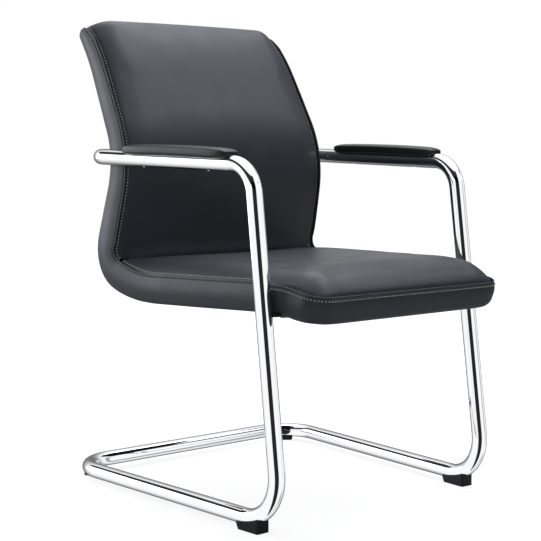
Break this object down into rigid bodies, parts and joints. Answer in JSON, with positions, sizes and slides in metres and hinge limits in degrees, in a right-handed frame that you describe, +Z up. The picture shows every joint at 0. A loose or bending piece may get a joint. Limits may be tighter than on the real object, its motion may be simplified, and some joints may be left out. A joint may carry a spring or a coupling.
{
  "type": "cantilever visitor chair",
  "caption": "Visitor chair: one-piece leather seat and back shell on a bent chrome tube cantilever frame with padded armrests and plastic feet.",
  "frame": {"origin": "on the floor under the middle of the chair's width and depth", "axes": "+Z up, the sitter faces -Y, the sitter's right hand is at -X"},
  "size_m": [0.6038, 0.7296, 0.9259],
  "materials": {
    "chrome_tube": "bright chrome plating over bent steel tube",
    "black_steel": "black powder coat over steel plate",
    "charcoal_leather": "charcoal leather, fine grain, semi-matte, with taupe topstitching",
    "lining_cloth": "black non-woven lining",
    "moulded_plywood": "raw moulded plywood",
    "black_plastic": "black satin moulded plastic",
    "zinc_steel": "zinc-plated steel"
  },
  "bodies": {
    "root": {"frame_half_right": "chrome_tube", "frame_half_left": "chrome_tube", "seat_lug_right": "black_steel", "seat_lug_left": "black_steel", "seat_cushion": "charcoal_leather", "back_cushion": "charcoal_leather", "side_band": "charcoal_leather", "rear_cover": "charcoal_leather", "underside_cover": "lining_cloth", "plywood_shell": "moulded_plywood", "armrest_pad_right": "black_plastic", "armrest_pad_left": "black_plastic", "foot_front_right": "black_plastic", "foot_front_left": "black_plastic", "foot_rear_right": "black_plastic", "foot_rear_left": "black_plastic", "back_saddle_right": "black_plastic", "back_saddle_left": "black_plastic", "floor_bar_sleeve": "zinc_steel", "back_bar_sleeve": "zinc_steel", "armrest_core_right": "zinc_steel", "armrest_core_left": "zinc_steel", "seat_screws": "zinc_steel", "back_screws": "zinc_steel", "armrest_screws": "zinc_steel", "foot_screws": "zinc_steel", "seat_tee_nuts": "zinc_steel", "back_tee_nuts": "zinc_steel"}
  },
  "joints": []
}
